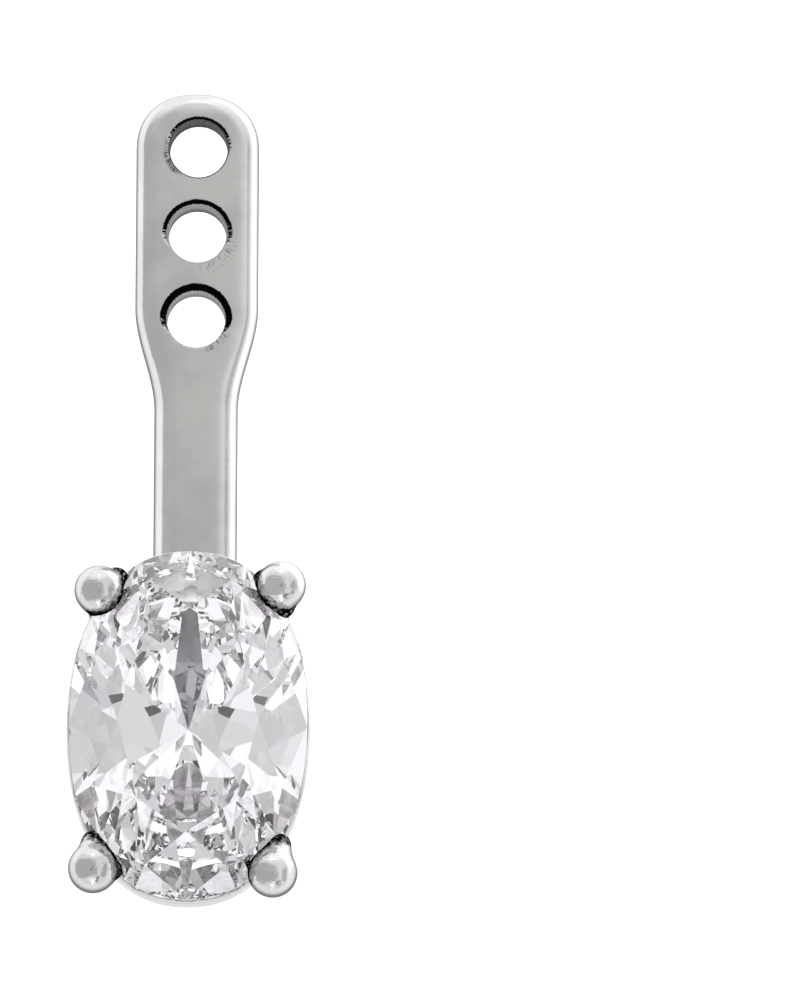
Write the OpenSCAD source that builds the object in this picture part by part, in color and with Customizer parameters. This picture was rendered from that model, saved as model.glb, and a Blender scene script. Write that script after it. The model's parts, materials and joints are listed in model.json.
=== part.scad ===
// Ear jacket earring: a silver bar with three post holes that carries an oval stone in a four-claw basket.
// It lies flat on its back, with +Z out of the stone's face and +Y up the bar.
// The origin is the centre of the middle post hole. All lengths are in millimetres.

/* [Ear bar] */
// Thickness of the bar
bar_t = 0.8; // [0.75:0.05:1.2]
// Width of the plate around the post holes
plate_w = 2.58; // [2.3:0.02:3.2]
// Length of the plate above the middle post hole
plate_top = 3.04; // [2.8:0.02:3.8]
// Length of the plate's rounded end
plate_end = 1.2; // [0.9:0.05:1.5]
// Width of the stem between the plate and the basket
stem_w = 1.76; // [1.4:0.02:2.2]
// Distance from the middle post hole to where the plate starts to narrow
neck_start = 1.5; // [1.0:0.05:2.0]
// Length over which the plate narrows to the stem
neck_l = 2.15; // [1.6:0.05:2.8]
// How far the stem runs in over the base rail, from the rail's end
stem_inset = 0.6; // [0.5:0.05:1.1]
// Radius of the edges of the front face
front_edge_r = 0.42; // [0.25:0.01:0.45]
// Radius of the edges of the back face
back_edge_r = 0.24; // [0.15:0.01:0.28]

/* [Post holes] */
// Bore of a post hole
hole_d = 1.2; // [1.0:0.02:1.4]
// Distance between the middles of neighbouring post holes
hole_pitch = 1.8; // [1.7:0.05:2.1]
// Number of post holes above and below the middle one
holes_each_way = 1; // [0:1:1]
// Width of the bevel round a hole on the front face
rim_w = 0.12; // [0.05:0.01:0.16]
// Depth of that bevel
rim_depth = 0.16; // [0.05:0.01:0.25]
// Width and depth of the bevel round a hole on the back face
back_rim = 0.06; // [0.03:0.01:0.1]

/* [Stone] */
// Width of the stone at its girdle
stone_w = 4.9; // [4.6:0.05:5.6]
// Length of the stone at its girdle
stone_l = 7.25; // [6.9:0.05:8.2]
// Squareness of the oval outline, where 2 is an ellipse
oval_power = 2.2; // [2.0:0.05:2.4]
// Width of the table
table_w = 2.9; // [2.6:0.05:3.3]
// Length of the table
table_l = 4.65; // [4.2:0.05:5.2]
// Height of the crown above the girdle
crown_h = 0.7; // [0.55:0.05:0.85]
// Thickness of the girdle at its thickest
girdle_t = 0.2; // [0.2:0.01:0.3]
// Depth of the pavilion below the girdle
pavilion_d = 2.15; // [1.95:0.05:2.3]
// Distance along Y from the middle post hole to the middle of the stone
stone_reach = 10.68; // [10.3:0.01:11.6]
// Height of the girdle above the surface that the jacket lies on
girdle_lift = 2.8; // [2.7:0.05:3.2]

/* [Basket] */
// Height of the gallery rail under the girdle
gallery_h = 0.72; // [0.5:0.02:0.9]
// Width of the gallery rail
gallery_w = 0.55; // [0.4:0.01:0.7]
// How far the gallery rail stands outside the girdle
gallery_out = 0.05; // [0.02:0.01:0.1]
// Height of the base rail
base_h = 0.6; // [0.45:0.05:0.8]
// Width of the base rail
base_w = 0.5; // [0.4:0.05:0.6]
// How far the base rail's outside lies inside the girdle
base_inset = 1.1; // [0.9:0.05:1.3]
// Radius of the rails' edges
rail_edge = 0.12; // [0.06:0.01:0.18]

/* [Claws] */
// Direction of the first claw from the stone's middle, from +X, in degrees
claw_turn = 58; // [54:0.2:61]
// Distance from the girdle out to the middle of a claw's head
claw_out = 0.26; // [0.18:0.01:0.3]
// How far the four claws stand down the bar's line from the stone's middle
claw_drop = 0.11; // [0:0.01:0.14]
// Radius of a claw's round head
head_r = 0.5; // [0.42:0.01:0.56]
// Height of the middle of the head above the girdle's mid-plane
head_lift = 0.26; // [0.15:0.01:0.35]
// Radius of the claw at its foot
foot_r = 0.36; // [0.3:0.01:0.42]
// Radius of the claw under its head
neck_r = 0.42; // [0.36:0.01:0.46]
// Radius of the lip that the head presses over the girdle
lip_r = 0.22; // [0.16:0.01:0.26]
// Half of the lip's length along the girdle, between its round ends
lip_half = 0.34; // [0.24:0.01:0.4]
// Gap between the stone and the metal at the stone's sides
stone_gap = 0.03; // [0.02:0.005:0.05]

/* [Hidden] */

silver = [0.78, 0.77, 0.75];
stone_white = [0.93, 0.93, 0.96, 0.6];
// Squareness of the plate's rounded end
plate_end_power = 2.25;
// Facets of the head's ball, and of the true round surfaces
ball_fn = 32;
round_fn = 64;
// Steps round a quarter of the plate's end, along the neck, and round one edge
end_steps = 10;
neck_steps = 10;
edge_steps = 4;
// Sides of a rail in plan
rail_sides = 48;
// Main facets of the stone, and flat sides of its girdle for each of them
mains = 8;
sides_per_main = 8;
// Height of a star facet's point as a share of the crown, and of a lower-girdle facet's as a share of the pavilion
star_share = 0.5;
lower_half_share = 0.28;
// Room that a cutting solid takes past the face it cuts
over = 0.1;

function smooth(u) = u * u * (3 - 2 * u);
function unit(v) = v / norm(v);
function signed_power(v, p) = sign(v) * pow(abs(v), p);

// The bar and the base rail lie on one plane
floor_z = -bar_t / 2;
girdle_z = floor_z + girdle_lift;
// The far end of the stem, as a distance down the bar from the middle post hole
stem_end = stone_reach - stone_l / 2 + base_inset + stem_inset;

// The right-hand side of the bar's outline, from the top of the plate down to the stem's end, as [x, y]
function half_width(down) =
  let (u = min(1, max(0, (down - neck_start) / neck_l)))
  plate_w / 2 + (stem_w - plate_w) / 2 * smooth(u);
outline = concat(
  [
    for (i = [0:end_steps])
      let (t = 90 * i / end_steps)
      [
        plate_w / 2 * signed_power(sin(t), 2 / plate_end_power),
        plate_top - plate_end * (1 - signed_power(cos(t), 2 / plate_end_power))
      ]
  ],
  [
    for (i = [0:neck_steps])
      let (down = neck_start + neck_l * i / neck_steps)
      [half_width(down), -down]
  ],
  [[stem_w / 2, -stem_end]]
);
side_points = len(outline);
loop_points = 2 * side_points - 1;

// The outline moved in by d along its normals
function side_normal(i) =
  i == 0 ? [0, 1]
  : i == side_points - 1 ? [1, 0]
  : let (along = outline[i + 1] - outline[i - 1]) unit([-along[1], along[0]]);
function inset_side(d) = [for (i = [0:side_points - 1]) outline[i] - d * side_normal(i)];
function inset_loop(d) =
  let (side = inset_side(d))
  concat(side, [for (i = [side_points - 1:-1:1]) [-side[i][0], side[i][1]]]);

// Layers of the bar from back to front, as [inset, height]: each edge is a quarter circle
edge_layers = concat(
  [
    for (i = [0:edge_steps])
      let (a = 90 * i / edge_steps)
      [back_edge_r * (1 - sin(a)), -bar_t / 2 + back_edge_r * (1 - cos(a))]
  ],
  [
    for (i = [0:edge_steps])
      let (a = 90 * i / edge_steps)
      [front_edge_r * (1 - cos(a)), bar_t / 2 - front_edge_r * (1 - sin(a))]
  ]
);

// The bar with rounded edges, from the stacked outlines
module bar_blank() {
  layers = len(edge_layers);
  points = [
    for (layer = edge_layers)
      for (p = inset_loop(layer[0]))
        [p[0], p[1], layer[1]]
  ];
  walls = [
    for (j = [0:layers - 2])
      for (i = [0:loop_points - 1])
        let (k = (i + 1) % loop_points)
        [
          j * loop_points + i,
          j * loop_points + k,
          (j + 1) * loop_points + k,
          (j + 1) * loop_points + i
        ]
  ];
  top = (layers - 1) * loop_points;
  strips = [
    for (i = [0:side_points - 2])
      i == 0 ? [0, 1, loop_points - 1] : [i, i + 1, loop_points - i - 1, loop_points - i]
  ];
  back = [for (s = strips) [for (i = [len(s) - 1:-1:0]) s[i]]];
  front = [for (s = strips) [for (v = s) top + v]];
  polyhedron(points = points, faces = concat(walls, back, front), convexity = 6);
}

// One post hole through the plate at y, with a bevel at each face
module post_hole(y) {
  translate([0, y, 0]) {
    cylinder(h = bar_t + 2 * over, d = hole_d, center = true, $fn = round_fn);
    translate([0, 0, bar_t / 2 - rim_depth])
      cylinder(
        h = rim_depth + over,
        r1 = hole_d / 2,
        r2 = hole_d / 2 + rim_w * (rim_depth + over) / rim_depth,
        $fn = round_fn
      );
    translate([0, 0, -bar_t / 2 - over])
      cylinder(
        h = back_rim + over,
        r1 = hole_d / 2 + back_rim + over,
        r2 = hole_d / 2,
        $fn = round_fn
      );
  }
}

// The oval: the stone's outline in plan, and everything that follows it

// Point of the oval with half-axes grown by out, at turn t round it
function oval(t, out = 0) = [
  (stone_w / 2 + out) * signed_power(cos(t), 2 / oval_power),
  (stone_l / 2 + out) * signed_power(sin(t), 2 / oval_power)
];
// Outward normal of the oval at turn t
function oval_normal(t) =
  let (p = oval(t), e = oval_power - 1)
  unit([
    signed_power(p[0] / (stone_w / 2), e) / stone_w,
    signed_power(p[1] / (stone_l / 2), e) / stone_l
  ]);
// Distance from the middle to the grown oval in direction a
function oval_reach(a, out = 0) =
  pow(
    pow(abs(cos(a)) / (stone_w / 2 + out), oval_power)
      + pow(abs(sin(a)) / (stone_l / 2 + out), oval_power),
    -1 / oval_power
  );

// A rail: a closed profile of [growth, height] points carried round the oval
module rail(profile) {
  corners = len(profile);
  points = [
    for (i = [0:rail_sides - 1])
      for (p = profile)
        let (q = oval(360 * i / rail_sides, p[0]))
        [q[0], q[1], p[1]]
  ];
  faces = [
    for (i = [0:rail_sides - 1])
      for (j = [0:corners - 1])
        let (i2 = (i + 1) % rail_sides, j2 = (j + 1) % corners)
        [i * corners + j, i * corners + j2, i2 * corners + j2, i2 * corners + j]
  ];
  polyhedron(points = points, faces = faces, convexity = 4);
}

// Profile of a rail from growth g1 to g2 and height z1 to z2, with its corners cut by rail_edge
function rail_profile(g1, g2, z1, z2) = [
  [g2, z1 + rail_edge],
  [g2, z2 - rail_edge],
  [g2 - rail_edge, z2],
  [g1 + rail_edge, z2],
  [g1, z2 - rail_edge],
  [g1, z1 + rail_edge],
  [g1 + rail_edge, z1],
  [g2 - rail_edge, z1]
];

// The rail under the girdle, whose inner edge is the seat of the stone
module gallery_rail() {
  top = -girdle_t / 2 + stone_gap;
  rail(rail_profile(gallery_out - gallery_w, gallery_out, top - gallery_h, top));
}

// The small rail that the claws stand on
module base_rail() {
  rail(rail_profile(-base_inset - base_w, -base_inset, -girdle_lift, base_h - girdle_lift));
}

// One claw in the direction a: a tapered wire off the base rail, and a ball pressed over the girdle
module claw(a) {
  foot = oval_reach(a, -base_inset - base_w / 2);
  foot_z = base_h / 2 - girdle_lift;
  head = oval_reach(a) + claw_out;
  lean = atan2(head - foot, head_lift - foot_z);
  // The turn round the oval at which its edge meets the claw, for the direction of the lip
  turn = atan2(
    signed_power(sin(a) / stone_l, oval_power / 2),
    signed_power(cos(a) / stone_w, oval_power / 2)
  );
  edge = oval(turn);
  across = oval_normal(turn);
  translate([0, -claw_drop, 0]) rotate([0, 0, a]) translate([foot, 0, foot_z]) rotate([0, lean, 0])
    cylinder(h = norm([head - foot, head_lift - foot_z]), r1 = foot_r, r2 = neck_r, $fn = round_fn);
  hull() {
    translate([0, -claw_drop, 0]) rotate([0, 0, a]) translate([head, 0, head_lift])
      sphere(r = head_r, $fn = ball_fn);
    for (side = [-1, 1])
      translate([
        edge[0] - side * lip_half * across[1],
        edge[1] + side * lip_half * across[0],
        head_lift / 2
      ])
        sphere(r = lip_r, $fn = ball_fn);
  }
}

// The oval brilliant, with its girdle's mid-plane at Z = 0

top_z = girdle_t / 2;
low_z = -girdle_t / 2;
girdle_sides = mains * sides_per_main;
half_main = sides_per_main / 2;
main_step = 360 / mains;

// Point of girdle side i in plan, and the corner of the table at main facet k
function girdle_xy(i) = oval(360 * i / girdle_sides);
function table_xy(k) = [table_w / 2 * cos(k * main_step), table_l / 2 * sin(k * main_step)];
// Distance of main facet k's girdle line from a point in plan
function from_edge(k, p) =
  let (n = oval_normal(k * main_step))
  n * (girdle_xy(k * sides_per_main) - p);
// The point in plan that lies at distances d1 and d2 from the girdle lines of main facets k and k + 1
function crossing(k, d1, d2) =
  let (
    n1 = oval_normal(k * main_step),
    n2 = oval_normal((k + 1) * main_step),
    c1 = from_edge(k, [0, 0]) - d1,
    c2 = from_edge(k + 1, [0, 0]) - d2
  )
  [c1 * n2[1] - c2 * n1[1], n1[0] * c2 - n2[0] * c1] / (n1[0] * n2[1] - n2[0] * n1[1]);
// Height at p in plan of the plane through three points
function plane_z(a, b, c, p) =
  let (n = cross(b - a, c - a))
  a[2] - (n[0] * (p[0] - a[0]) + n[1] * (p[1] - a[1])) / n[2];
function lift(p, z) = [p[0], p[1], z];

// Where two crown mains and a star facet meet, and where two pavilion mains and two lower halves meet
function star_point(k) =
  let (drop = star_share)
  lift(
    crossing(k, drop * from_edge(k, table_xy(k)), drop * from_edge(k + 1, table_xy(k + 1))),
    top_z + star_share * crown_h
  );
function lower_point(k) =
  let (near = 1 - lower_half_share)
  lift(
    crossing(k, near * from_edge(k, [0, 0]), near * from_edge(k + 1, [0, 0])),
    low_z - near * pavilion_d
  );
// Edge point i of the girdle on the plane of its half facet, which meets the facets' points in mid
function edge_point(i, z, mid) =
  let (
    k = floor(i / sides_per_main),
    in_main = i - k * sides_per_main,
    first = in_main < half_main ? k * sides_per_main : k * sides_per_main + half_main,
    p = girdle_xy(i)
  )
  lift(
    p,
    plane_z(mid[k], lift(girdle_xy(first), z), lift(girdle_xy(first + half_main), z), p)
  );

module oval_brilliant() {
  stars = [for (k = [0:mains - 1]) star_point(k)];
  lowers = [for (k = [0:mains - 1]) lower_point(k)];
  table = [for (k = [0:mains - 1]) lift(table_xy(k), top_z + crown_h)];
  upper = [for (i = [0:girdle_sides - 1]) edge_point(i, top_z, stars)];
  lower = [for (i = [0:girdle_sides - 1]) edge_point(i, low_z, lowers)];
  culet = [0, 0, low_z - pavilion_d];
  star_0 = mains;
  upper_0 = 2 * mains;
  lower_0 = upper_0 + girdle_sides;
  mid_0 = lower_0 + girdle_sides;
  tip = mid_0 + mains;
  table_facet = [[for (k = [mains - 1:-1:0]) k]];
  crown = [
    for (k = [0:mains - 1])
      let (
        next = (k + 1) % mains,
        last = (k + mains - 1) % mains,
        g = k * sides_per_main,
        wrap = girdle_sides
      )
      each [
        [k, next, star_0 + k],
        [k, star_0 + k, upper_0 + g, star_0 + last],
        concat([star_0 + k], [for (i = [half_main:-1:0]) upper_0 + g + i]),
        concat([star_0 + k], [for (i = [half_main:-1:0]) upper_0 + (g + half_main + i) % wrap])
      ]
  ];
  pavilion = [
    for (k = [0:mains - 1])
      let (
        last = (k + mains - 1) % mains,
        g = k * sides_per_main,
        wrap = girdle_sides
      )
      each [
        [tip, mid_0 + last, lower_0 + g, mid_0 + k],
        concat([mid_0 + k], [for (i = [0:half_main]) lower_0 + g + i]),
        concat([mid_0 + k], [for (i = [0:half_main]) lower_0 + (g + half_main + i) % wrap])
      ]
  ];
  girdle = [
    for (i = [0:girdle_sides - 1])
      let (n = (i + 1) % girdle_sides)
      [upper_0 + i, upper_0 + n, lower_0 + n, lower_0 + i]
  ];
  polyhedron(
    points = concat(table, stars, upper, lower, lowers, [culet]),
    faces = concat(table_facet, crown, girdle, pavilion),
    convexity = 2
  );
}

module at_stone() {
  translate([0, -stone_reach, girdle_z]) children();
}

// The casting: bar, basket and claws in one piece, with the post holes drilled and the seat cut
module jacket_frame() {
  color(silver) difference() {
    union() {
      bar_blank();
      at_stone() {
        gallery_rail();
        base_rail();
        for (a = [claw_turn, 180 - claw_turn, 180 + claw_turn, -claw_turn]) claw(a);
      }
    }
    for (i = [-holes_each_way:holes_each_way]) post_hole(i * hole_pitch);
    at_stone() scale(1 + 2 * stone_gap / stone_w) oval_brilliant();
  }
}

module oval_stone() {
  color(stone_white) at_stone() oval_brilliant();
}

jacket_frame();
oval_stone();
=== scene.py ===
# Ear jacket earring: a cast silver bar with three post holes, and an oval brilliant held by four claws.
# It lies flat on its back. All lengths are in metres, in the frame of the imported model.
import json
import math

import bpy
import numpy as np
from mathutils import Matrix, Vector


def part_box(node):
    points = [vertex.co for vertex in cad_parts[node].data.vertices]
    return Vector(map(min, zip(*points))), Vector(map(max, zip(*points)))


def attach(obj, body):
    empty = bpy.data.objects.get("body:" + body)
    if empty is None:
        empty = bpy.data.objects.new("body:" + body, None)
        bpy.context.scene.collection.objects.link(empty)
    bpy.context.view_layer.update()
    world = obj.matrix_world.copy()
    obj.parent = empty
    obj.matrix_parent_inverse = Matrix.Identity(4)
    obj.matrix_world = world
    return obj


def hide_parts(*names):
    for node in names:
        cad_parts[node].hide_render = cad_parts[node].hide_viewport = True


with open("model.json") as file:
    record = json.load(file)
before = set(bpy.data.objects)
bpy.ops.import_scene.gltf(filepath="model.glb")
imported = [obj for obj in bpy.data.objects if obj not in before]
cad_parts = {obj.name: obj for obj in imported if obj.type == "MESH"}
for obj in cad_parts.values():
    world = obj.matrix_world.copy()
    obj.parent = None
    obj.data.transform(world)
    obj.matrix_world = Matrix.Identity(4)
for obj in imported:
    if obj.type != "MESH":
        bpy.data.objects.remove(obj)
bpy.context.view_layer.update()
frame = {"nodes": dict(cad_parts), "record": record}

# The bar is one flat strip of silver: a wide plate with a rounded end, a curved neck and a narrow stem.
# It is cast with the basket, a little out of square, and filed flat on both faces. Tumbling rounds its front
# edges, and wear has rubbed down its right side and its end.
MM = 0.001
TINY = 1e-9
casting_low, casting_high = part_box("jacket_frame")
stone_low, stone_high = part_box("oval_stone")
stone_mid = (stone_low + stone_high) / 2
floor_z = casting_low.z
BAR_HALF_T = -floor_z
PLATE_TOP = casting_high.y
PLATE_W = 2.56 * MM
PLATE_END = 1.2 * MM
PLATE_END_Y = PLATE_TOP - PLATE_END
PLATE_END_POWER = 2.25
STEM_W = 1.74 * MM
STEM_END = stone_high.y - 1.7 * MM
NECK_TOP = -1.5 * MM
NECK_L = 2.15 * MM
LEFT_EDGE_R_PLATE = 0.52 * MM
LEFT_EDGE_R_STEM = 0.6 * MM
RIGHT_EDGE_R = 0.47 * MM
END_EDGE_R = 0.5 * MM
END_EDGE_OVER = 0.96 * MM
BACK_EDGE_R = 0.18 * MM
FRONT_EDGE_DOWN = 0.5
RUBBED_SIDE_LEAN = math.radians(11.5)
RUBBED_SIDE_FROM_PLATE = 0.62 * MM
RUBBED_SIDE_FROM_STEM = 0.22 * MM
RUBBED_END_LEAN = math.radians(14.5)
RUBBED_END_FROM = 2.3 * MM
RUBBED_BEND_R = 1.6 * MM
RUBBED_SOFTNESS = 0.04 * MM
FACE_SOFTNESS = 0.015 * MM
OUT_OF_SQUARE = 0.0088
OUT_OF_SQUARE_FROM = -0.7 * MM


def part_way(first, second, share):
    """A size between two, by share."""
    return first + (second - first) * share


def eased(share):
    """A smooth step from 0 to 1, as share goes from 0 to 1."""
    share = np.clip(share, 0, 1)
    return share * share * (3 - 2 * share)


def oval_side(x, y, half_w, half_l, power):
    """Distance from the outline of an oval, negative inside it."""
    across, along = np.abs(x) / half_w, np.abs(y) / half_l
    size = (across**power + along**power) ** (1 / power) + TINY
    slope = np.hypot(across ** (power - 1) / half_w, along ** (power - 1) / half_l) * size ** (1 - power)
    return (size - 1) / (slope + TINY)


def down_neck(y):
    """How far down the neck a place is, from 0 at the plate to 1 at the stem."""
    return np.clip((NECK_TOP - y) / NECK_L, 0, 1)


def bar_side(x, y):
    """Distance from the bar's outline in plan, negative inside it."""
    down = down_neck(y)
    half_w = part_way(PLATE_W / 2, STEM_W / 2, eased(down))
    eased_rise = 6 * down * (1 - down)
    lean = (PLATE_W - STEM_W) / 2 * eased_rise / NECK_L
    straight = (np.abs(x) - half_w) / np.hypot(1, lean)
    rounded = oval_side(x, y - PLATE_END_Y, PLATE_W / 2, PLATE_END, PLATE_END_POWER)
    return np.maximum(np.where(y > PLATE_END_Y, rounded, straight), STEM_END - y)


def round_edged(side, face, edge_r):
    """Distance from a flat piece with rounded edges, from the distances to its outline and to its face."""
    across, along = side + edge_r, face + edge_r
    corner = np.hypot(np.maximum(across, 0), np.maximum(along, 0))
    return corner + np.minimum(np.maximum(across, along), 0) - edge_r


def soft_max(a, b, soft):
    """The larger of two distances, with the edge where they meet rounded off."""
    near = np.maximum(soft - np.abs(a - b), 0) / soft
    return np.maximum(a, b) + near * near * soft / 4


def rubbed_face(z, along, lean):
    """The front face, bent down from where along is 0 until it leans by the angle lean."""
    bent = np.clip(along, 0, RUBBED_BEND_R * math.sin(lean))
    bend = RUBBED_BEND_R - np.sqrt(RUBBED_BEND_R**2 - bent**2)
    drop = bend + np.maximum(along - bent, 0) * math.tan(lean)
    return (z - BAR_HALF_T + np.where(along > 0, drop, 0)) * math.cos(lean)


def bar(x, y, z):
    """Distance from the bar's surface before it is drilled, negative in the metal."""
    x = x - (OUT_OF_SQUARE_FROM - y) * OUT_OF_SQUARE
    down = down_neck(y)
    to_right = np.clip(x / STEM_W + 0.5, 0, 1)
    side_r = part_way(part_way(LEFT_EDGE_R_PLATE, LEFT_EDGE_R_STEM, down), RIGHT_EDGE_R, to_right)
    front_r = part_way(side_r, END_EDGE_R, eased((y - PLATE_END_Y) / END_EDGE_OVER))
    on_front = z > -FRONT_EDGE_DOWN * front_r
    face = np.where(on_front, z, -z) - BAR_HALF_T
    strip = round_edged(bar_side(x, y), face, np.where(on_front, front_r, BACK_EDGE_R))
    side_from = part_way(RUBBED_SIDE_FROM_PLATE, RUBBED_SIDE_FROM_STEM, down)
    rubbed_side = rubbed_face(z, x - side_from, RUBBED_SIDE_LEAN)
    rubbed_end = rubbed_face(z, y - RUBBED_END_FROM, RUBBED_END_LEAN)
    return soft_max(strip, soft_max(rubbed_side, rubbed_end, RUBBED_SOFTNESS), FACE_SOFTNESS)


# The post holes are drilled through the plate after casting. A cone bit, held by hand, then bevels their
# front rims at 45 degrees, each to its own width, and the back rims are only broken.
bores = [mount for mount in frame["record"]["mounts"] if mount["kind"] == "bore"]
HOLES = [Vector(bore["pos_m"]) for bore in bores]
HOLE_R = [bore["dims"]["r_mm"] * MM for bore in bores]
BEVELS_ABOVE = [0.09 * MM, 0.135 * MM, 0.155 * MM]
BEVEL_BELOW = 0.02 * MM
BEVEL_NARROW_AT = -0.65
BEVEL_WIDE_AT = 0.05
BACK_BEVEL = 0.05 * MM
RIM_SOFTNESS = 0.02 * MM


def drilled(metal, x, y, z):
    """The metal with its post holes and their bevels cut out."""
    for hole, hole_r, above in zip(HOLES, HOLE_R, BEVELS_ABOVE):
        out = np.hypot(x - hole.x, y - hole.y)
        wall = hole_r - out
        upness = (y - hole.y) / (out + TINY)
        wide = eased((upness - BEVEL_NARROW_AT) / (BEVEL_WIDE_AT - BEVEL_NARROW_AT))
        bevel = np.where(z > 0, part_way(BEVEL_BELOW, above, wide), BACK_BEVEL)
        cone = (np.abs(z) - BAR_HALF_T + wall + bevel) * math.sqrt(0.5)
        metal = soft_max(metal, soft_max(wall, cone, RIM_SOFTNESS), RIM_SOFTNESS)
    return metal


# The basket has two oval rails: the gallery rail, which the stone's girdle sits on, and the small base rail
# that the claws stand on. Both are bent from wire in the wax model and cast with the bar.
OVAL_POWER = 2.2
STONE_HALF_W = (stone_high.x - stone_low.x) / 2
STONE_HALF_L = (stone_high.y - stone_low.y) / 2
GIRDLE_Z = floor_z + 2.8 * MM
GIRDLE_T = 0.2 * MM
SEAT_GAP = 0.03 * MM
RAIL_EDGE_R = 0.12 * MM
GALLERY_OUT = 0.05 * MM
GALLERY_W = 0.55 * MM
GALLERY_H = 0.72 * MM
BASE_IN = 1.1 * MM
BASE_W = 0.5 * MM
BASE_H = 0.6 * MM


def rail(x, y, z, out, width, low, high):
    """An oval rail whose outside lies out from the girdle, from the height low to the height high."""
    outside = oval_side(x, y, STONE_HALF_W + out, STONE_HALF_L + out, OVAL_POWER)
    inside = oval_side(x, y, STONE_HALF_W + out - width, STONE_HALF_L + out - width, OVAL_POWER)
    face = np.abs(z - (low + high) / 2) - (high - low) / 2
    return round_edged(np.maximum(outside, -inside), face, RAIL_EDGE_R)


def gallery_rail(x, y, z):
    top = GIRDLE_Z - GIRDLE_T / 2 + SEAT_GAP
    return rail(x, y - stone_mid.y, z, GALLERY_OUT, GALLERY_W, top - GALLERY_H, top)


def base_rail(x, y, z):
    return rail(x, y - stone_mid.y, z, -BASE_IN, BASE_W, floor_z, floor_z + BASE_H)


# The four claws are tapered wires that rise from the base rail past the gallery. The setter melts each end
# to a ball and pushes it over the girdle by hand, so that it spreads along the stone's edge in two short
# flanks and no ball sits quite where the next one does.
CLAW_TURN = math.radians(58)
CLAW_TURNS = [CLAW_TURN, math.pi - CLAW_TURN, math.pi + CLAW_TURN, -CLAW_TURN]
PUSHED_ACROSS = [0.02 * MM, -0.02 * MM, -0.05 * MM, -0.07 * MM]
PUSHED_UP = [0.042 * MM, -0.105 * MM, 0.04 * MM, 0]
CLAWS = list(zip(CLAW_TURNS, PUSHED_ACROSS, PUSHED_UP))
CLAW_OUT = 0.26 * MM
CLAW_DROP = 0.11 * MM
HEAD_R = 0.475 * MM
HEAD_LIFT = 0.26 * MM
FOOT_R = 0.36 * MM
NECK_R = 0.42 * MM
LIP_R = 0.22 * MM
LIP_HALF = 0.34 * MM
FLANK_STEPS = (-1, -0.5, 0, 0.5, 1)
SOLDER = 0.12 * MM
BURNISH = 0.06 * MM


def soft_min(a, b, soft):
    """The smaller of two distances, with a fillet where they meet."""
    return -soft_max(-a, -b, soft)


def wire(x, y, z, start, end, start_r, end_r):
    """A straight tapered wire with round ends."""
    px, py, pz = x - start.x, y - start.y, z - start.z
    run = end - start
    along = np.clip((px * run.x + py * run.y + pz * run.z) / run.length_squared, 0, 1)
    off = np.sqrt((px - along * run.x) ** 2 + (py - along * run.y) ** 2 + (pz - along * run.z) ** 2)
    return off - start_r - along * (end_r - start_r)


def ball_to_ball(x, y, z, start, end, start_r, end_r):
    """The skin stretched tight over two balls."""
    run = end - start
    length = run.length
    px, py, pz = x - start.x, y - start.y, z - start.z
    along = (px * run.x + py * run.y + pz * run.z) / length
    off = np.sqrt(np.maximum(px * px + py * py + pz * pz - along * along, 0))
    lean = (start_r - end_r) / length
    first = np.hypot(off, along) - start_r
    if lean >= 1:
        return first
    upright = math.sqrt(1 - lean * lean)
    foot = (along * upright - off * lean) / upright
    side = off * upright + along * lean - start_r
    last = np.hypot(off, along - length) - end_r
    return np.where(foot < 0, first, np.where(foot > length, last, side))


def oval_reach(turn, out):
    """Distance from the stone's middle to the oval that lies out from its girdle."""
    across = abs(math.cos(turn)) / (STONE_HALF_W + out)
    along = abs(math.sin(turn)) / (STONE_HALF_L + out)
    return (across**OVAL_POWER + along**OVAL_POWER) ** (-1 / OVAL_POWER)


def from_middle(turn, out, drop, height):
    """The place at the angle turn and the distance out from the stone's middle, moved down by drop."""
    return Vector((stone_mid.x + out * math.cos(turn), stone_mid.y + out * math.sin(turn) - drop, height))


def flank_run(turn):
    """The place on the girdle where a claw's two flanks part, and the run along the girdle to one's end."""
    middle = from_middle(turn, oval_reach(turn, 0), 0, GIRDLE_Z + HEAD_LIFT / 2)
    run_y = middle.y - stone_mid.y
    slope_x = math.copysign((abs(middle.x) / STONE_HALF_W) ** (OVAL_POWER - 1) / STONE_HALF_W, middle.x)
    slope_y = math.copysign((abs(run_y) / STONE_HALF_L) ** (OVAL_POWER - 1) / STONE_HALF_L, run_y)
    return middle, Vector((-slope_y, slope_x, 0)).normalized() * LIP_HALF


def claw(x, y, z, turn, across, up):
    """Distance from one claw, whose ball is pushed across and up from its place, negative in the metal."""
    foot = from_middle(turn, oval_reach(turn, -BASE_IN - BASE_W / 2), CLAW_DROP, floor_z + BASE_H / 2)
    head = from_middle(turn, oval_reach(turn, 0) + CLAW_OUT, CLAW_DROP - up, GIRDLE_Z + HEAD_LIFT)
    head.x += across
    shaft = wire(x, y, z, foot, head, FOOT_R, NECK_R)
    middle, run = flank_run(turn)
    top = wire(x, y, z, middle - run, middle + run, LIP_R, LIP_R)
    for step in FLANK_STEPS:
        flank = ball_to_ball(x, y, z, head, middle + run * step, HEAD_R, LIP_R)
        top = soft_min(top, flank, BURNISH)
    return soft_min(shaft, top, SOLDER)


# Bar, rails and claws are one casting. The seat is cut to the stone's own facets, and every inside corner
# has the small fillet that metal leaves when it flows there. Its surface is a net of four-sided faces, with
# one corner in each small cube that it passes through, pulled onto the true surface.
SEAT_CUT = 0.024 * MM
SKIN_PITCH = 0.045 * MM
COARSE = 4
NEAR_SKIN = 1.8 * COARSE * SKIN_PITCH
PROBE = SKIN_PITCH / 40
PULLS = 3
facet_planes = {}
for facet in frame["nodes"]["oval_stone"].data.polygons:
    plane = (*facet.normal, facet.normal.dot(facet.center))
    facet_planes[tuple(round(part, 3) for part in facet.normal)] = plane
facet_planes = np.array(list(facet_planes.values()))


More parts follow.
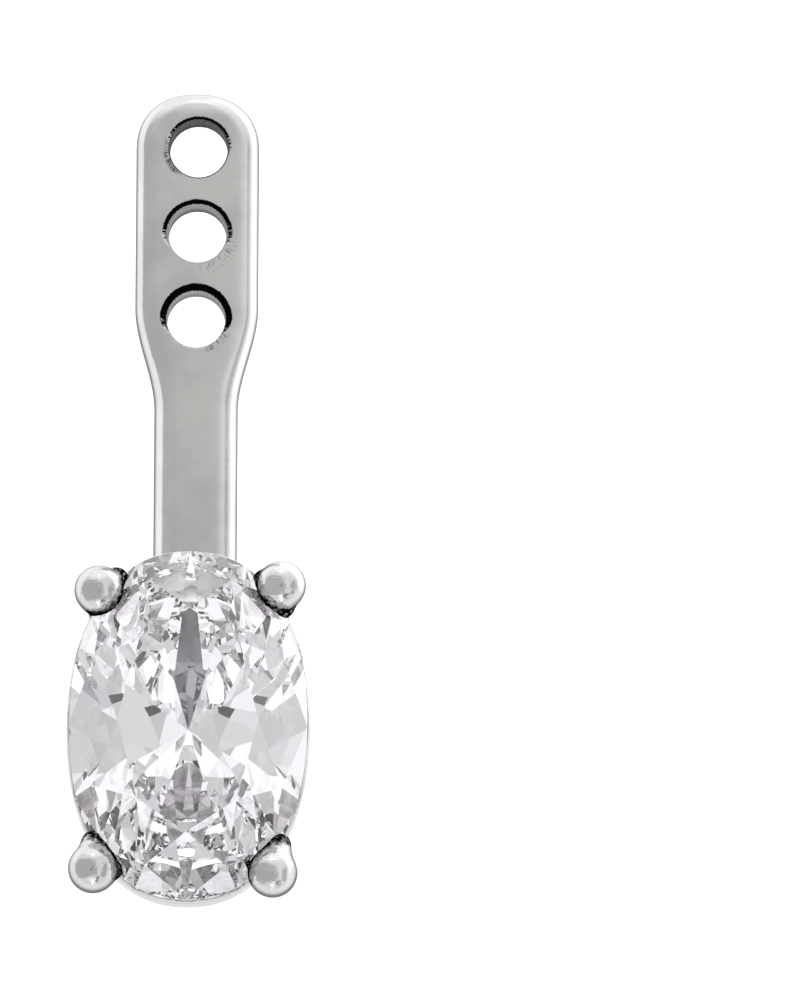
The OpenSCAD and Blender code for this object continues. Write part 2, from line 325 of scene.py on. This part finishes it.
def stone(x, y, z):
    """Distance from the stone, negative inside it."""
    points = np.stack([x, y, z], axis=-1)
    return (points @ facet_planes[:, :3].T - facet_planes[:, 3]).max(axis=-1)


def casting(x, y, z):
    """Distance from the surface of the whole casting, negative in the metal."""
    metal = soft_min(bar(x, y, z), base_rail(x, y, z), SOLDER)
    metal = np.minimum(metal, gallery_rail(x, y, z))
    for pushed in CLAWS:
        metal = soft_min(metal, claw(x, y, z, *pushed), SOLDER)
    metal = np.maximum(drilled(metal, x, y, z), floor_z - z)
    return soft_max(metal, SEAT_CUT - stone(x, y, z), RIM_SOFTNESS / 2)


def slope(field, points):
    """Unit direction in which a distance field grows at each point."""
    grown = np.empty_like(points)
    for axis in range(3):
        ahead, behind = points.copy(), points.copy()
        ahead[:, axis] += PROBE
        behind[:, axis] -= PROBE
        grown[:, axis] = field(*ahead.T) - field(*behind.T)
    return grown / np.linalg.norm(grown, axis=1, keepdims=True)


def sampled(field, low, high):
    """The field in the middle of each cube of a grid, exact near the surface and rough away from it."""
    coarse_pitch = SKIN_PITCH * COARSE
    counts = [int(math.ceil((b - a) / coarse_pitch)) + 1 for a, b in zip(low, high)]
    grids = [a + (np.arange(n) + 0.5) * coarse_pitch for a, n in zip(low, counts)]
    rough = field(*(grid.ravel() for grid in np.meshgrid(*grids, indexing="ij"))).reshape(counts)
    values = rough.repeat(COARSE, 0).repeat(COARSE, 1).repeat(COARSE, 2)
    near = np.argwhere(np.abs(values) < NEAR_SKIN)
    values[tuple(near.T)] = field(*(np.array(low) + (near + 0.5) * SKIN_PITCH).T)
    return values


def crossed_cells(values):
    """The cells that the surface passes through, and where in each its middle lies, as shares of a cell."""
    corners = np.array([(i, j, k) for i in (0, 1) for j in (0, 1) for k in (0, 1)])
    counts = np.array(values.shape) - 1
    solid_corners = np.zeros(counts, int)
    for i, j, k in corners:
        solid_corners += values[i : i + counts[0], j : j + counts[1], k : k + counts[2]] < 0
    cells = np.argwhere((solid_corners > 0) & (solid_corners < 8))
    held = values[tuple((cells[:, None, :] + corners[None]).transpose(2, 0, 1))]
    middle, crossings = np.zeros((len(cells), 3)), np.zeros((len(cells), 1))
    for a in range(8):
        for b in range(a + 1, 8):
            if np.abs(corners[a] - corners[b]).sum() == 1:
                crosses = (held[:, a] < 0) != (held[:, b] < 0)
                share = held[crosses, a] / (held[crosses, a] - held[crosses, b])
                middle[crosses] += corners[a] + share[:, None] * (corners[b] - corners[a])
                crossings[crosses] += 1
    return cells, middle / crossings


def joined_cells(values, cells):
    """A four-sided face round each edge of the grid that the surface crosses, from the cells at that edge."""
    inside = values < 0
    number = np.full(np.array(values.shape) - 1, -1)
    number[tuple(cells.T)] = np.arange(len(cells))
    faces = []
    for axis in range(3):
        second, third = (axis + 1) % 3, (axis + 2) % 3
        start = np.moveaxis(inside, axis, 0)
        edges = np.argwhere(np.moveaxis(start[:-1] != start[1:], 0, axis))
        edges = edges[(edges[:, second] > 0) & (edges[:, third] > 0)]
        around = []
        for back_2, back_3 in ((1, 1), (0, 1), (0, 0), (1, 0)):
            cell = edges.copy()
            cell[:, second] -= back_2
            cell[:, third] -= back_3
            around.append(number[tuple(cell.T)])
        quads = np.stack(around, axis=1)
        leaves = inside[tuple(edges.T)]
        faces.append(np.where(leaves[:, None], quads, quads[:, ::-1]))
    return np.concatenate(faces)


def skin(field, low, high):
    """Corners, their directions and the faces of the surface where a distance field is zero."""
    values = sampled(field, low, high)
    cells, middles = crossed_cells(values)
    places = np.array(low) + (cells + middles + 0.5) * SKIN_PITCH
    for _ in range(PULLS):
        places -= slope(field, places) * field(*places.T)[:, None]
    return places, slope(field, places), joined_cells(values, cells)


margin = Vector((1, 1, 1)) * SKIN_PITCH * COARSE
places, normals, faces = skin(casting, casting_low - margin, casting_high + margin)
casting_mesh = bpy.data.meshes.new("jacket_casting")
casting_mesh.from_pydata(places.tolist(), [], faces.tolist())
casting_mesh.polygons.foreach_set("use_smooth", [True] * len(casting_mesh.polygons))
casting_mesh.update()
casting_mesh.normals_split_custom_set_from_vertices(normals.tolist())
casting_piece = bpy.data.objects.new("jacket_casting", casting_mesh)
bpy.context.scene.collection.objects.link(casting_piece)

# Black is painted along the stone on each claw, and most of all at the ends of its two flanks: painted shade
# for the crevices where the claws meet the stone. The steep sides of the bar and of the claws are painted a
# thin dull grey: painted shade for their darker rims.
# Sizes of the painted crevice shade on the claws.
CREVICE_SHADE_W = 0.34 * MM
CREVICE_SHADE_FULL_W = 0.085 * MM
CREVICE_SHADE_AT_ENDS = 0.36 * MM
CREVICE_SHADE_AT_ENDS_SHARE = 0.5
PAST_FLANK = 1.4
CREVICE_SHADE_FADE = 0.1 * MM
CREVICE_SHADE_OFF_CLAW = 0.05 * MM
# Sizes of the painted shade on the steep sides, which stays weaker on the gallery rail.
SIDE_SHADE_BELOW = 0.49
SIDE_SHADE_OVER = 0.22
GALLERY_BRIGHT_W = 0.05 * MM
GALLERY_SIDE_SHADE = 0.25


def paint(name, shares):
    """Give each corner of the casting a share from 0 to 1, for its material."""
    layer = casting_mesh.attributes.new(name, "FLOAT", "POINT")
    layer.data.foreach_set("value", shares.astype(np.float32))


# Painted shade: black along the stone on the claws, by how near each corner lies to the stone and to the ends
# of the flanks.
off_stone = np.maximum(stone(*places.T) - SEAT_GAP, 0)
off_claw = np.min([claw(*places.T, *pushed) for pushed in CLAWS], axis=0)
off_ends = np.full(len(places), 1.0)
for turn in CLAW_TURNS:
    middle, run = flank_run(turn)
    for end in (middle - run * PAST_FLANK, middle + run * PAST_FLANK):
        off_ends = np.minimum(off_ends, np.linalg.norm(places - np.array(end), axis=1))
shade_by_stone = np.clip((CREVICE_SHADE_W + CREVICE_SHADE_FULL_W - off_stone) / CREVICE_SHADE_W, 0, 1)
shade_by_stone = shade_by_stone + np.clip(1 - off_ends / CREVICE_SHADE_AT_ENDS, 0, 1) * CREVICE_SHADE_AT_ENDS_SHARE
on_claw = np.clip((CREVICE_SHADE_FADE + CREVICE_SHADE_OFF_CLAW - off_claw) / CREVICE_SHADE_FADE, 0, 1)
above_girdle = np.clip((places[:, 2] - GIRDLE_Z) / CREVICE_SHADE_FADE + 1, 0, 1)
paint("crevice_shade", np.clip(shade_by_stone, 0, 1) * on_claw * above_girdle)
# Painted shade: the steeper a corner faces, the duller grey it is painted, less so on the gallery rail.
off_gallery = np.clip(gallery_rail(*places.T) / GALLERY_BRIGHT_W, GALLERY_SIDE_SHADE, 1)
paint("side_shade", np.clip((SIDE_SHADE_BELOW - np.abs(normals[:, 2])) / SIDE_SHADE_OVER, 0, 1) * off_gallery)

# The silver is buffed bright, with a faint haze in the polish. The steep sides, painted dull as painted
# shade, mirror less, most of all at a glancing angle, and the painted crevice shade is black with a few
# bright specks left in it.
BRIGHT_SILVER = [(0.61, 0.6, 0.598, 1), (0.675, 0.675, 0.66, 1)]
SIDE_SHADE_SILVER = (0.2, 0.2, 0.195, 1)
SIDE_SHADE_GLANCE = 0.5
BLACK = 0.004
BLACK_GLANCE = 0.05
HAZE = 0.9 / MM
HAZE_SPAN = (0.38, 0.62)
SPECKS = 8 / MM
BRIGHT_SPECKS = 14 / MM
BRIGHT_SPECKS_SPAN = (0.52, 0.68)
BRIGHT_SPECKS_SHARE = 0.55
CREVICE_SHADE_SPECKLED = 1.4
CREVICE_SHADE_SPAN = (1.05, 1.6)

silver = bpy.data.materials.new("polished_silver")
silver.use_nodes = True
nodes, links = silver.node_tree.nodes, silver.node_tree.links
shader = nodes["Principled BSDF"]
shader.inputs["Metallic"].default_value = 1.0


def feed(value, socket):
    """Put a number or another node's output into a socket."""
    if isinstance(value, bpy.types.NodeSocket):
        links.new(value, socket)
    else:
        socket.default_value = value


def maths(kind, *values):
    """One step of arithmetic on numbers or node outputs."""
    node = nodes.new("ShaderNodeMath")
    node.operation = kind
    for value, socket in zip(values, node.inputs):
        feed(value, socket)
    return node.outputs["Value"]


def times(first, *others):
    """The product of numbers or node outputs."""
    for other in others:
        first = maths("MULTIPLY", first, other)
    return first


def scaled(value, by, plus):
    """A value times another, plus a third."""
    return maths("MULTIPLY_ADD", value, by, plus)


def fade(value, start, end):
    """A smooth step from 0 at start to 1 at end."""
    node = nodes.new("ShaderNodeMapRange")
    node.interpolation_type = "SMOOTHSTEP"
    feed(value, node.inputs["Value"])
    node.inputs["From Min"].default_value = start
    node.inputs["From Max"].default_value = end
    return node.outputs["Result"]


def mottle(where, per_metre, detail):
    """Cloudy patches from 0 to 1, so many to a metre, with finer ones in them for more detail."""
    node = nodes.new("ShaderNodeTexNoise")
    node.inputs["Scale"].default_value = per_metre
    node.inputs["Detail"].default_value = detail
    links.new(where, node.inputs["Vector"])
    return node.outputs["Fac"]


def grey(tone):
    return (tone, tone, tone, 1)


def blend(share, first, second):
    """A colour between two, by share."""
    node = nodes.new("ShaderNodeMix")
    node.data_type = "RGBA"
    feed(share, node.inputs["Factor"])
    feed(first, node.inputs["A"])
    feed(second, node.inputs["B"])
    return node.outputs["Result"]


def painted(name):
    """The share that the casting was given by paint."""
    node = nodes.new("ShaderNodeAttribute")
    node.attribute_name = name
    return node.outputs["Fac"]


def place_in(kind):
    """Where a point lies on its piece, or in which direction in the sky."""
    return nodes.new("ShaderNodeTexCoord").outputs[kind]


def split_up(place):
    """The x, y and z of a place."""
    node = nodes.new("ShaderNodeSeparateXYZ")
    links.new(place, node.inputs["Vector"])
    return node.outputs


spot = place_in("Object")
at_x, at_y, at_z = split_up(spot)
specks = mottle(spot, SPECKS, 3)
bright_specks = fade(mottle(spot, BRIGHT_SPECKS, 2), *BRIGHT_SPECKS_SPAN)
# The black of the painted crevice shade on the claws, speckled, with a few bright specks left in it.
ragged = scaled(specks, CREVICE_SHADE_SPECKLED, painted("crevice_shade"))
black = times(fade(ragged, *CREVICE_SHADE_SPAN), scaled(bright_specks, -BRIGHT_SPECKS_SHARE, 1.0))
haze = mottle(spot, HAZE, 5)
# The steep sides turn a dull grey and mirror less at a glancing angle: painted shade.
polished = blend(painted("side_shade"), blend(fade(haze, *HAZE_SPAN), *BRIGHT_SILVER), SIDE_SHADE_SILVER)
glancing = blend(painted("side_shade"), grey(1), grey(SIDE_SHADE_GLANCE))

# The cone bit chatters where it cuts, and leaves a patch of scuffs beside the hole. A combed black crescent
# is painted on the upper half of each rim: painted shade for the steep outer edge of the bevel. The drilled
# wall is a rough grey, and painted shade makes it darker towards the back.
COMB_PER_RADIAN = 20
COMB_OUTWARD = 5 / MM
COMB_SPAN = (0.35, 0.65)
RAGGED_W = 0.05 * MM
CRESCENT_SOFT = 0.006 * MM
CRESCENT_SOFT_INSIDE = 0.01 * MM
CRESCENT_SOFT_END = 0.07
CRESCENT_COMBED = 2.0
CRESCENT_DEPTH = (1.2, 0.95)
SCUFF_SPAN = (0.72, 0.95)
SCUFF_SPECKLED = 0.6
SCUFF_THRESHOLD = (1.0, 1.1)
SCUFF_SPREAD = 0.3
SCUFF_TONE = 0.13
# The depth over which the drilled wall goes from its back tone to its front tone: painted shade.
WALL_SHADE_SPAN = (-0.3 * MM, 0.3 * MM)
WALL_DEPTH = (0.2, 0.4)
WALL_REACH = 1.3
WALL_STREAKS = 0.5
WALL_GLANCE = 0.4
# The black ends, left and right, are heights on the rim from -1 to 1. The wall's tones are for its back and
# its front, the back darker with painted shade, and the scuffs' turn is in degrees.
HOLE_MARKS = [
    {
        "black_from": 0.03 * MM, "black_ends": (0.45, 0.15), "shaded_wall_tones": (0.02, 0.12),
        "scuff_turn": 200, "scuff_w": 0.17 * MM, "scuff_dark": 0.95,
    },
    {
        "black_from": 0.045 * MM, "black_ends": (-0.05, -0.1), "shaded_wall_tones": (0.1, 0.55),
        "scuff_turn": -48, "scuff_w": 0.32 * MM, "scuff_dark": 0.5,
    },
    {
        "black_from": 0.02 * MM, "black_ends": (-0.25, -0.5), "shaded_wall_tones": (0.28, 0.6),
        "scuff_turn": -40, "scuff_w": 0.2 * MM, "scuff_dark": 0.6,
    },
]

rough_cut = 0.0
for hole, hole_r, above, marks in zip(HOLES, HOLE_R, BEVELS_ABOVE, HOLE_MARKS):
    # How far a point lies from the hole's middle and in which direction, and its depth in the bevel.
    right_by, up_by = maths("SUBTRACT", at_x, hole.x), maths("SUBTRACT", at_y, hole.y)
    out = maths("SQRT", maths("ADD", times(right_by, right_by), times(up_by, up_by)))
    rightness, upness = maths("DIVIDE", right_by, out), maths("DIVIDE", up_by, out)
    bevel_w = scaled(fade(upness, BEVEL_NARROW_AT, BEVEL_WIDE_AT), above - BEVEL_BELOW, BEVEL_BELOW)
    depth = maths("DIVIDE", maths("SUBTRACT", BAR_HALF_T, at_z), bevel_w)

    # The bit's strokes, which all point out from the hole.
    round_the_hole = nodes.new("ShaderNodeCombineXYZ")
    feed(times(maths("ARCTAN2", up_by, right_by), COMB_PER_RADIAN), round_the_hole.inputs["X"])
    feed(times(out, COMB_OUTWARD), round_the_hole.inputs["Y"])
    combed = mottle(round_the_hole.outputs["Vector"], 1, 3)

    # The black crescent of painted shade, ragged along the rim and combed out at its ends.
    black_r = hole_r + marks["black_from"]
    ragged_out = scaled(combed, RAGGED_W, maths("SUBTRACT", out, RAGGED_W / 2))
    to_rim = maths("SUBTRACT", maths("ADD", bevel_w, hole_r), ragged_out)
    within = times(
        fade(to_rim, -CRESCENT_SOFT, CRESCENT_SOFT),
        fade(ragged_out, black_r - CRESCENT_SOFT_INSIDE, black_r + CRESCENT_SOFT_INSIDE),
    )
    left_end, right_end = marks["black_ends"]
    height = scaled(rightness, (left_end - right_end) / 2, upness)
    ends_at = (left_end + right_end) / 2 + CRESCENT_COMBED / 2
    combed_height = scaled(combed, CRESCENT_COMBED, height)
    high = fade(combed_height, ends_at - CRESCENT_SOFT_END, ends_at + CRESCENT_SOFT_END)
    black = maths("MAXIMUM", black, times(within, high, fade(depth, *CRESCENT_DEPTH)))

    # The scuffs on the face beside the hole.
    scuff_turn, scuff_w = math.radians(marks["scuff_turn"]), marks["scuff_w"]
    toward = scaled(rightness, math.cos(scuff_turn), times(upness, math.sin(scuff_turn)))
    scratchy = scaled(specks, SCUFF_SPECKLED, combed)
    scuffed = times(
        fade(toward, *SCUFF_SPAN),
        fade(out, hole_r + scuff_w, hole_r + scuff_w / 2),
        fade(scratchy, *(level - marks["scuff_dark"] * SCUFF_SPREAD for level in SCUFF_THRESHOLD)),
    )
    polished = blend(times(scuffed, marks["scuff_dark"]), polished, grey(SCUFF_TONE))

    # The wall, streaked with the polish of the face, and darker towards the back with painted shade.
    wall = times(fade(depth, *WALL_DEPTH), fade(out, hole_r + marks["black_from"] * WALL_REACH, black_r))
    shaded_wall_grey = blend(fade(at_z, *WALL_SHADE_SPAN), *(grey(tone) for tone in marks["shaded_wall_tones"]))
    streaked = blend(fade(combed, *COMB_SPAN), shaded_wall_grey, blend(WALL_STREAKS, shaded_wall_grey, polished))
    polished = blend(wall, polished, streaked)
    rough_cut = maths("MAXIMUM", rough_cut, wall)

glancing = blend(rough_cut, glancing, grey(WALL_GLANCE))
links.new(blend(black, polished, grey(BLACK)), shader.inputs["Base Color"])
links.new(blend(black, glancing, grey(BLACK_GLANCE)), shader.inputs["Specular Tint"])

# The bar's front face is a little duller than its tumbled edges. The setter's tools leave small dents on the
# claws' balls, and the bar has shallow waves, fine scratches from wear and a few pits from the casting.
POLISH_ROUGHNESS = 0.09
HAZE_ROUGHNESS = 0.14
FRONT_ROUGHNESS = 0.16
BLACK_ROUGHNESS = 0.4
WALL_DULLNESS = 0.7
FRONT_FROM = (BAR_HALF_T - 0.1 * MM, BAR_HALF_T - 0.04 * MM)
FRONT_TO = (BAR_HALF_T + 0.2 * MM, BAR_HALF_T + 0.05 * MM)
DENTS = 5.5 / MM
DENT_DEPTH = 0.02 * MM
DENT_STRENGTH = 0.8
WAVE_DEPTH = 0.02 * MM
WAVE_STRENGTH = 0.5
SCRATCHES = (2.2 / MM, 14 / MM, 0.9 / MM)
SCRATCH_TURN = math.radians(-25)
SCRATCH_SPAN = (0.58, 0.72)
SCRATCH_DEPTH = 0.01 * MM
SCRATCH_STRENGTH = 0.16
PITS = 1.9 / MM
PIT_SPAN = (0, 0.09)
PIT_DEPTH = 0.01 * MM
PIT_STRENGTH = 0.25

dull = maths("MAXIMUM", black, times(rough_cut, WALL_DULLNESS))
front = times(fade(at_z, *FRONT_FROM), fade(at_z, *FRONT_TO))
worn = scaled(front, FRONT_ROUGHNESS, scaled(haze, HAZE_ROUGHNESS, POLISH_ROUGHNESS))
links.new(scaled(dull, BLACK_ROUGHNESS, worn), shader.inputs["Roughness"])


def bump(height, depth, strength, under=None):
    """The surface raised by depth where height is 1, on top of the bumps under it."""
    node = nodes.new("ShaderNodeBump")
    node.inputs["Distance"].default_value = depth
    feed(strength, node.inputs["Strength"])
    links.new(height, node.inputs["Height"])
    if under:
        links.new(under, node.inputs["Normal"])
    return node.outputs["Normal"]


strokes = nodes.new("ShaderNodeMapping")
strokes.inputs["Rotation"].default_value = (0, 0, SCRATCH_TURN)
strokes.inputs["Scale"].default_value = SCRATCHES
links.new(spot, strokes.inputs["Vector"])
scratches = fade(mottle(strokes.outputs["Vector"], 1, 2), *SCRATCH_SPAN)
pits = nodes.new("ShaderNodeTexVoronoi")
pits.inputs["Scale"].default_value = PITS
links.new(spot, pits.inputs["Vector"])
on_balls = times(fade(at_z, GIRDLE_Z, GIRDLE_Z + HEAD_LIFT), DENT_STRENGTH)
relief = bump(mottle(spot, DENTS, 2), DENT_DEPTH, on_balls)
relief = bump(haze, WAVE_DEPTH, WAVE_STRENGTH, relief)
relief = bump(scratches, SCRATCH_DEPTH, SCRATCH_STRENGTH, relief)
relief = bump(fade(pits.outputs["Distance"], *PIT_SPAN), PIT_DEPTH, PIT_STRENGTH, relief)
links.new(relief, shader.inputs["Normal"])
casting_mesh.materials.append(silver)

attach(casting_piece, "root")
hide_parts("jacket_frame")

# The stone is one clear oval brilliant of cubic zirconia, faceted and polished on a lap.
# It isn't glued: the gallery rail carries its girdle and the claws hold it down.
ZIRCONIA_IOR = 2.15
ZIRCONIA_TINTS = [(0.968, 0.945, 0.972, 1), (0.9, 0.872, 0.925, 1)]
ZIRCONIA_CLOUDS = 0.5 / MM
stone_piece = frame["nodes"]["oval_stone"]
crystal = bpy.data.materials.new("clear_zirconia")
crystal.use_nodes = True
nodes, links = crystal.node_tree.nodes, crystal.node_tree.links
shader = nodes["Principled BSDF"]
shader.inputs["Transmission Weight"].default_value = 1.0
shader.inputs["IOR"].default_value = ZIRCONIA_IOR
shader.inputs["Roughness"].default_value = 0.0
clouds = mottle(place_in("Object"), ZIRCONIA_CLOUDS, 2)
links.new(blend(clouds, *ZIRCONIA_TINTS), shader.inputs["Base Color"])
stone_piece.data.materials.clear()
stone_piece.data.materials.append(crystal)

# Light turns back many times between the facets before it leaves the stone.
TURNS_OF_LIGHT = 24
cycles = bpy.context.scene.cycles
cycles.max_bounces = cycles.glossy_bounces = cycles.transmission_bounces = TURNS_OF_LIGHT

# The jewel lies on a white table that glows a little, like a light pad, and more beside the bar. Under the
# stone a small dark oval with almost no glow is painted on the table: painted shadow, which keeps the glow
# out of the stone so that its own dark facets show.
FLOOR_HALF = 0.6
# The painted shadow under the stone: its size, its place, its soft edge and its colour.
SHADOW_SHARE = 0.88
SHADOW_HALF_W = STONE_HALF_W * SHADOW_SHARE
SHADOW_HALF_L = STONE_HALF_L * SHADOW_SHARE
SHADOW_UP = 0.25 * MM
SHADOW_EDGE = (0.85, 1.15)
SHADOW_COLOUR = (0.02, 0.02, 0.05, 1)
SHADOW_GLOW = 0.02
TABLE_TONE = 0.12
TABLE_ROUGHNESS = 0.9
TABLE_SHINE = 0.1
TABLE_GLOW = 1.04
GLOW_BESIDE_BAR = 0.16
GLOW_ON_RIGHT = 0.35
GLOW_ON_RIGHT_SPAN = (0, 2 * MM)
GLOW_ALONG_BAR = (stone_mid.y - 1 * MM, stone_high.y)
floor_corners = [(x * FLOOR_HALF, y * FLOOR_HALF, floor_z) for x, y in ((-1, -1), (1, -1), (1, 1), (-1, 1))]
floor_mesh = bpy.data.meshes.new("floor")
floor_mesh.from_pydata(floor_corners, [], [(0, 1, 2, 3)])
floor = bpy.data.objects.new("floor", floor_mesh)
bpy.context.scene.collection.objects.link(floor)
pale = bpy.data.materials.new("white_table")
pale.use_nodes = True
nodes, links = pale.node_tree.nodes, pale.node_tree.links
shader = nodes["Principled BSDF"]
shader.inputs["Roughness"].default_value = TABLE_ROUGHNESS
shader.inputs["Specular IOR Level"].default_value = TABLE_SHINE
shader.inputs["Emission Color"].default_value = grey(1)
at_x, at_y, _ = split_up(place_in("Object"))
# A dark oval painted on the table under the stone, with almost no glow: painted shadow.
shadow_x = maths("DIVIDE", maths("SUBTRACT", at_x, stone_mid.x), SHADOW_HALF_W)
shadow_y = maths("DIVIDE", maths("SUBTRACT", at_y, stone_mid.y + SHADOW_UP), SHADOW_HALF_L)
unshaded = fade(maths("ADD", times(shadow_x, shadow_x), times(shadow_y, shadow_y)), *SHADOW_EDGE)
links.new(blend(unshaded, SHADOW_COLOUR, grey(TABLE_TONE)), shader.inputs["Base Color"])
more_glow = scaled(fade(at_x, *GLOW_ON_RIGHT_SPAN), GLOW_ON_RIGHT, GLOW_BESIDE_BAR)
glow = scaled(fade(at_y, *GLOW_ALONG_BAR), more_glow, TABLE_GLOW)
links.new(scaled(unshaded, glow, SHADOW_GLOW), shader.inputs["Emission Strength"])
floor_mesh.materials.append(pale)

# The light is a white tent round the table, brighter on its sides and at both ends of the bar. A large round
# grey panel hangs over the jewel, with a paler patch that the bar's flat face mirrors and a hole for the
# lens. A dark card stands low at the near right, and a narrow grey flag on the right.
CAMERA_LEAN = math.radians(10)
TENT_TONE = 1.04
# The places and sizes below are in degrees to the side and along the bar, as the lens sees them.
PANEL_COLOUR = (0.632, 0.632, 0.628, 1)
PANEL_SIDEWAYS = -35
PANEL_LENGTHWAYS = 3
PANEL_HALF_W = 57
PANEL_HALF_L = 44
PANEL_POWER = 3
PANEL_EDGE = (1.3, 0.7)
PALE_PATCH_TONE = 0.88
PALE_PATCH_LENGTHWAYS = 20.5
PALE_PATCH_R = (3.74, 2.24)
LENS_HOLE_COLOUR = (0.02, 0.02, 0.025, 1)
LENS_HOLE_R = (6, 4.5)
# Each light or card has a colour, then its span to the side and its span along the bar: from, to, and over
# how much more it fades out.
ALL_ROUND = (-360, 360, 1)
LEFT_WALL = grey(1.2), (-360, -118, 22), ALL_ROUND
RIGHT_WALL = grey(1.55), (92, 360, 14), ALL_ROUND
FAR_WALL = grey(1.4), ALL_ROUND, (70, 360, 22)
ROOF_STRIP = grey(2.0), (-10, 10, 6), (70, 360, 8)
LOW_WINDOW = grey(1.6), (-14, 14, 6), (-360, -50, 8)
DARK_CARD = (0.36, 0.36, 0.41, 1), (18, 42, 6), (-57, -36, 5)
FLAG = (0.6, 0.6, 0.605, 1), (50, 68, 6), (-32, 18, 8)

world = bpy.data.worlds.new("tent")
bpy.context.scene.world = world
world.use_nodes = True
nodes, links = world.node_tree.nodes, world.node_tree.links
at_x, at_y, at_z = split_up(place_in("Generated"))
ahead = scaled(at_y, -math.sin(CAMERA_LEAN), times(at_z, math.cos(CAMERA_LEAN)))
upward = scaled(at_y, math.cos(CAMERA_LEAN), times(at_z, math.sin(CAMERA_LEAN)))
sideways = maths("DEGREES", maths("ARCTAN2", at_x, ahead))
lengthways = maths("DEGREES", maths("ARCSINE", upward))


def between(value, low, high, soft):
    """1 between low and high, fading to 0 over the width soft at each end."""
    return times(fade(value, low - soft, low), fade(value, high + soft, high))


def hung(tent, colour, to_side, along_bar):
    """The tent with one more light or card hung in it."""
    return blend(times(between(sideways, *to_side), between(lengthways, *along_bar)), tent, colour)


tent = grey(TENT_TONE)
for light in (RIGHT_WALL, LEFT_WALL, FAR_WALL, ROOF_STRIP, LOW_WINDOW):
    tent = hung(tent, *light)
panel_x = maths("ABSOLUTE", maths("DIVIDE", maths("SUBTRACT", sideways, PANEL_SIDEWAYS), PANEL_HALF_W))
panel_y = maths("ABSOLUTE", maths("DIVIDE", maths("SUBTRACT", lengthways, PANEL_LENGTHWAYS), PANEL_HALF_L))
off_panel = maths("ADD", maths("POWER", panel_x, PANEL_POWER), maths("POWER", panel_y, PANEL_POWER))
tent = blend(fade(off_panel, *PANEL_EDGE), tent, PANEL_COLOUR)
patch_y = maths("SUBTRACT", lengthways, PALE_PATCH_LENGTHWAYS)
off_patch = maths("ADD", times(sideways, sideways), times(patch_y, patch_y))
tent = blend(fade(off_patch, *(radius**2 for radius in PALE_PATCH_R)), tent, grey(PALE_PATCH_TONE))
for card in (DARK_CARD, FLAG):
    tent = hung(tent, *card)
lens_hole = fade(ahead, *(math.cos(math.radians(angle)) for angle in LENS_HOLE_R))
tent = blend(lens_hole, tent, LENS_HOLE_COLOUR)
links.new(tent, nodes["Background"].inputs["Color"])

# The camera looks down at the jewel from a little below the stone, through a long lens. It is aimed so that
# the middle post hole lies at its place in the picture, in pixels from the left and from the top.
CAMERA_ROLL = math.radians(0.8)
LENS_MM = 600
SENSOR_MM = 36
VIEW_H = 20.8 * MM
PICTURE_W, PICTURE_H = 800, 1000
HOLE_AT_X, HOLE_AT_Y = 197.5, 237.3
pixel = VIEW_H / PICTURE_H
back = Vector((0, -math.sin(CAMERA_LEAN), math.cos(CAMERA_LEAN)))
up_bar = Vector((0, math.cos(CAMERA_LEAN), math.sin(CAMERA_LEAN)))
right = Vector((math.cos(CAMERA_ROLL), 0, 0)) + up_bar * math.sin(CAMERA_ROLL)
up = up_bar * math.cos(CAMERA_ROLL) - Vector((math.sin(CAMERA_ROLL), 0, 0))
aim = right * (PICTURE_W / 2 - HOLE_AT_X) * pixel + up * (HOLE_AT_Y - PICTURE_H / 2) * pixel
lens = bpy.data.cameras.new("camera")
lens.lens = LENS_MM
lens.sensor_width = SENSOR_MM
camera = bpy.data.objects.new("camera", lens)
bpy.context.scene.collection.objects.link(camera)
facing = Matrix((right, up, back)).transposed().to_4x4()
camera.matrix_world = Matrix.Translation(aim + back * VIEW_H * LENS_MM / SENSOR_MM) @ facing
bpy.context.scene.camera = camera
bpy.context.scene.view_settings.view_transform = "Standard"
